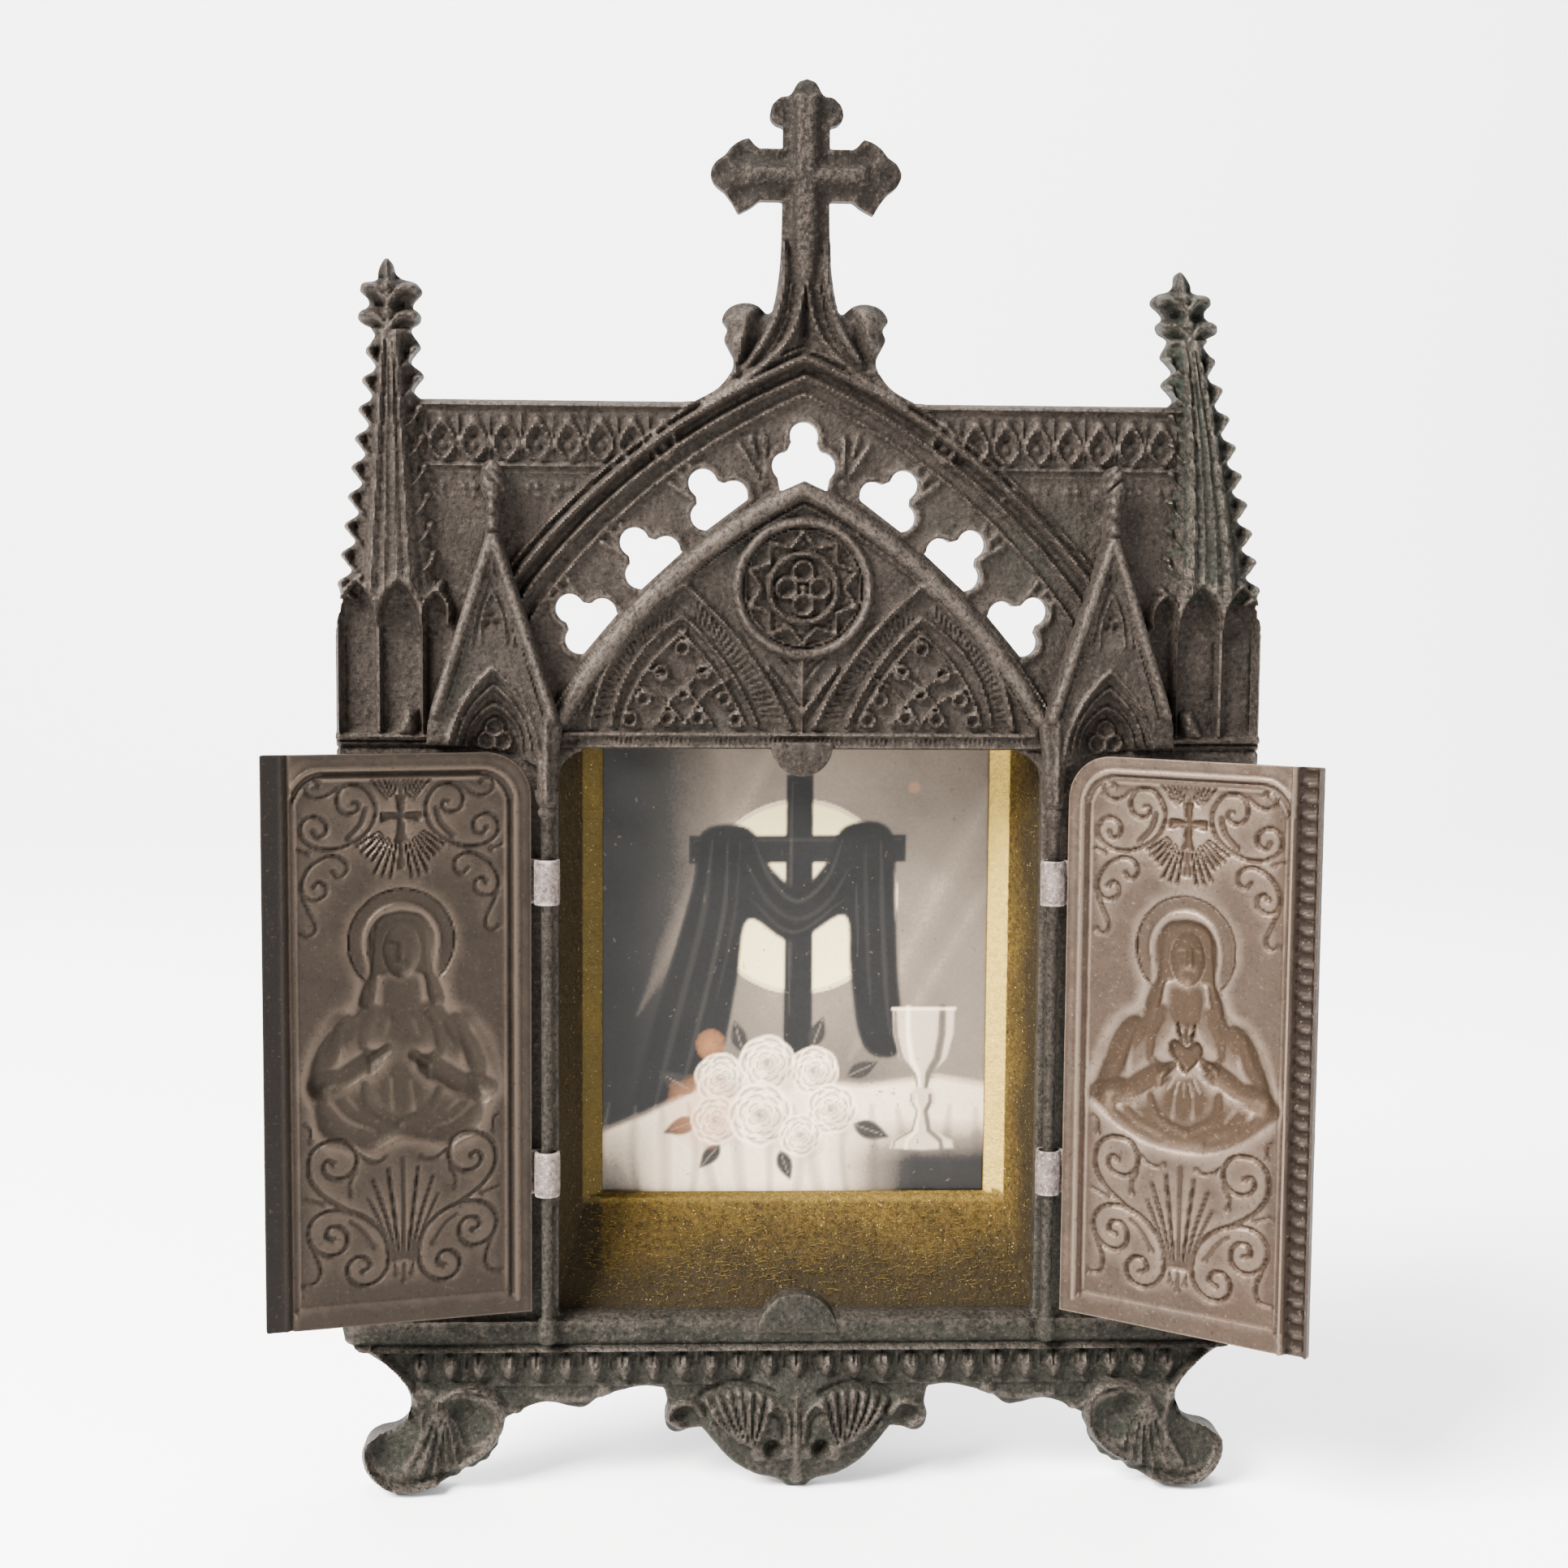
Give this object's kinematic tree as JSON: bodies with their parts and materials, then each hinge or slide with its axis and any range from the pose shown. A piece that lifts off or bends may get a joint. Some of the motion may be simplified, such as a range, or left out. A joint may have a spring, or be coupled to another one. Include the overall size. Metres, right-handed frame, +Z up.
{
  "type": "travel altar",
  "caption": "Small cast-metal Gothic shrine on scroll feet with two stamped doors that swing shut over a gilt-lined niche holding a picture card.",
  "frame": {"origin": "middle of the flat underside of the central foot, on the ground", "axes": "+Z up, +Y back, so the front with the doors faces -Y, +X to the right seen from the front"},
  "size_m": [0.0851, 0.0483, 0.12],
  "materials": {
    "cast_metal": "dark brown-grey cast spelter with green patina in the hollows and rubbed edges",
    "stamped_left": "stamped sheet, darkened to brown-grey",
    "stamped_right": "stamped sheet, rubbed to a lighter copper-pink",
    "clip_sheet": "plain dull silver sheet",
    "case_sheet": "dull dark tinned sheet",
    "gilt_card": "gold flocked card, worn and dusty",
    "picture_paper": "glossy printed card with foxing"
  },
  "bodies": {
    "altar": {"facade": "cast_metal", "back_case": "case_sheet", "gilt_lining": "gilt_card", "picture_card": "picture_paper", "rear_prop": "case_sheet"},
    "left_door": {"door_left": "stamped_left", "hinge_clip_left_upper": "clip_sheet", "hinge_clip_left_lower": "clip_sheet"},
    "right_door": {"door_right": "stamped_right", "hinge_clip_right_upper": "clip_sheet", "hinge_clip_right_lower": "clip_sheet"}
  },
  "joints": [
    {"name": "left_door_hinge", "type": "hinge", "parent": "altar", "child": "left_door", "pos_m": [-0.02145, -0.0022, 0.04025], "axis": [0, 0, 1], "range_deg": [-7, 165.5]},
    {"name": "right_door_hinge", "type": "hinge", "parent": "altar", "child": "right_door", "pos_m": [0.02145, -0.0022, 0.04025], "axis": [0, 0, 1], "range_deg": [-140, 29.5]}
  ]
}
